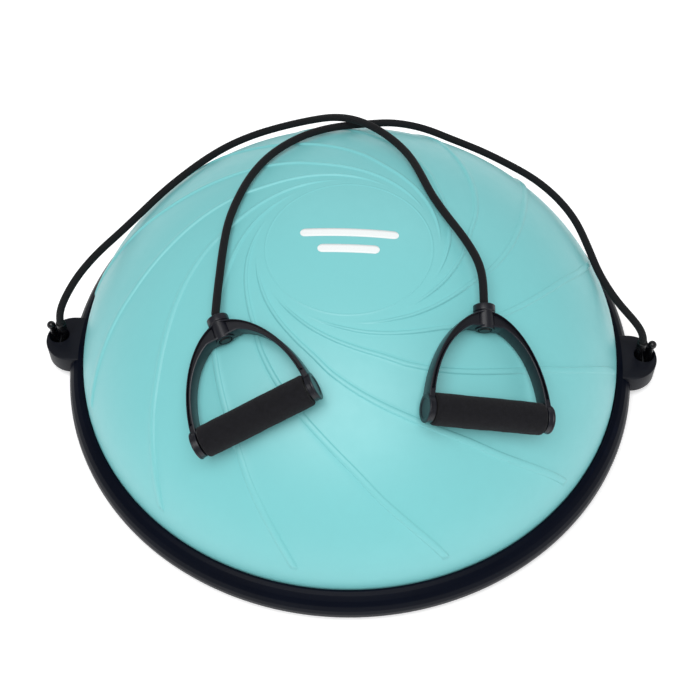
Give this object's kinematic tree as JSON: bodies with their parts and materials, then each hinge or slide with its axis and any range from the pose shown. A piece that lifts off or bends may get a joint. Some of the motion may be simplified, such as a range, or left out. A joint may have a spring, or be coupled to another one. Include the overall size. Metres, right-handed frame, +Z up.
{
  "type": "balance dome trainer",
  "caption": "Inflated balance dome clamped to a round black platform, with side lugs and two elastic pull cords that end in foam-gripped stirrup handles.",
  "frame": {"origin": "centre of the object on the floor, under the dome's middle", "axes": "+Z up, +Y to the back of the dome where the cords cross, +X to the right lug"},
  "size_m": [0.6524, 0.6, 0.2128],
  "materials": {
    "dome_pvc": "satin turquoise inflated PVC",
    "valve_rubber": "turquoise soft PVC",
    "plug_plastic": "black moulded plug",
    "platform_plastic": "black moulded plastic, light texture",
    "rim_plastic": "blue-black satin plastic",
    "lug_plastic": "blue-black satin plastic",
    "zinc_steel": "zinc-plated steel",
    "foot_rubber": "black non-slip rubber",
    "hook_plastic": "black moulded nylon",
    "cord_sleeve": "black woven sleeve over an elastic core",
    "yoke_plastic": "charcoal moulded plastic",
    "grip_foam": "black soft foam",
    "rod_plastic": "black plastic rod",
    "stop_plastic": "black plastic stopper"
  },
  "bodies": {
    "base": {"base_platform": "platform_plastic", "clamp_rim": "rim_plastic", "clamp_screw_1": "zinc_steel", "clamp_screw_2": "zinc_steel", "clamp_screw_3": "zinc_steel", "clamp_screw_4": "zinc_steel", "clamp_screw_5": "zinc_steel", "clamp_screw_6": "zinc_steel", "clamp_screw_7": "zinc_steel", "clamp_screw_8": "zinc_steel", "cord_hook_left": "hook_plastic", "cord_hook_right": "hook_plastic", "cord_left": "cord_sleeve", "cord_right": "cord_sleeve", "dome_bladder": "dome_pvc", "foot_pad_1": "foot_rubber", "foot_pad_2": "foot_rubber", "foot_pad_3": "foot_rubber", "foot_pad_4": "foot_rubber", "foot_pad_5": "foot_rubber", "foot_pad_6": "foot_rubber", "foot_pad_7": "foot_rubber", "foot_pad_8": "foot_rubber", "lug_left": "lug_plastic", "lug_pin_left": "zinc_steel", "lug_pin_right": "zinc_steel", "lug_right": "lug_plastic", "valve_seat": "valve_rubber"},
    "valve_plug": {"valve_plug": "plug_plastic"},
    "left_cord_end": {"cord_tail_left": "cord_sleeve"},
    "left_handle": {"yoke_left": "yoke_plastic", "cord_stub_left": "cord_sleeve", "cord_stop_left": "stop_plastic"},
    "left_grip": {"foam_grip_left": "grip_foam", "grip_rod_left": "rod_plastic"},
    "right_cord_end": {"cord_tail_right": "cord_sleeve"},
    "right_handle": {"yoke_right": "yoke_plastic", "cord_stub_right": "cord_sleeve", "cord_stop_right": "stop_plastic"},
    "right_grip": {"foam_grip_right": "grip_foam", "grip_rod_right": "rod_plastic"}
  },
  "joints": [
    {"name": "valve_plug_pull", "type": "slide", "parent": "base", "child": "valve_plug", "axis": [0, 0.9332, 0.3593], "range_m": [0, 0.025]},
    {"name": "left_handle_lift", "type": "slide", "parent": "base", "child": "left_cord_end", "axis": [0, 0, 1], "range_m": [0, 0.5]},
    {"name": "left_handle_tilt", "type": "hinge", "parent": "left_cord_end", "child": "left_handle", "pos_m": [-0.12206, -0.08165, 0.19695], "axis": [-0.8695, -0.3152, -0.3802], "range_deg": [0, 90]},
    {"name": "left_grip_spin", "type": "hinge", "parent": "left_handle", "child": "left_grip", "pos_m": [-0.0772, -0.1805, 0.1763], "axis": [0.8695, 0.3152, 0.3802], "continuous": true},
    {"name": "right_handle_lift", "type": "slide", "parent": "base", "child": "right_cord_end", "axis": [0, 0, 1], "range_m": [0, 0.5]},
    {"name": "right_handle_tilt", "type": "hinge", "parent": "right_cord_end", "child": "right_handle", "pos_m": [0.12992, -0.05767, 0.19878], "axis": [-0.9331, -0.145, 0.329], "range_deg": [0, 90]},
    {"name": "right_grip_spin", "type": "hinge", "parent": "right_handle", "child": "right_grip", "pos_m": [0.1349, -0.1632, 0.1664], "axis": [0.9331, 0.145, -0.329], "continuous": true}
  ]
}
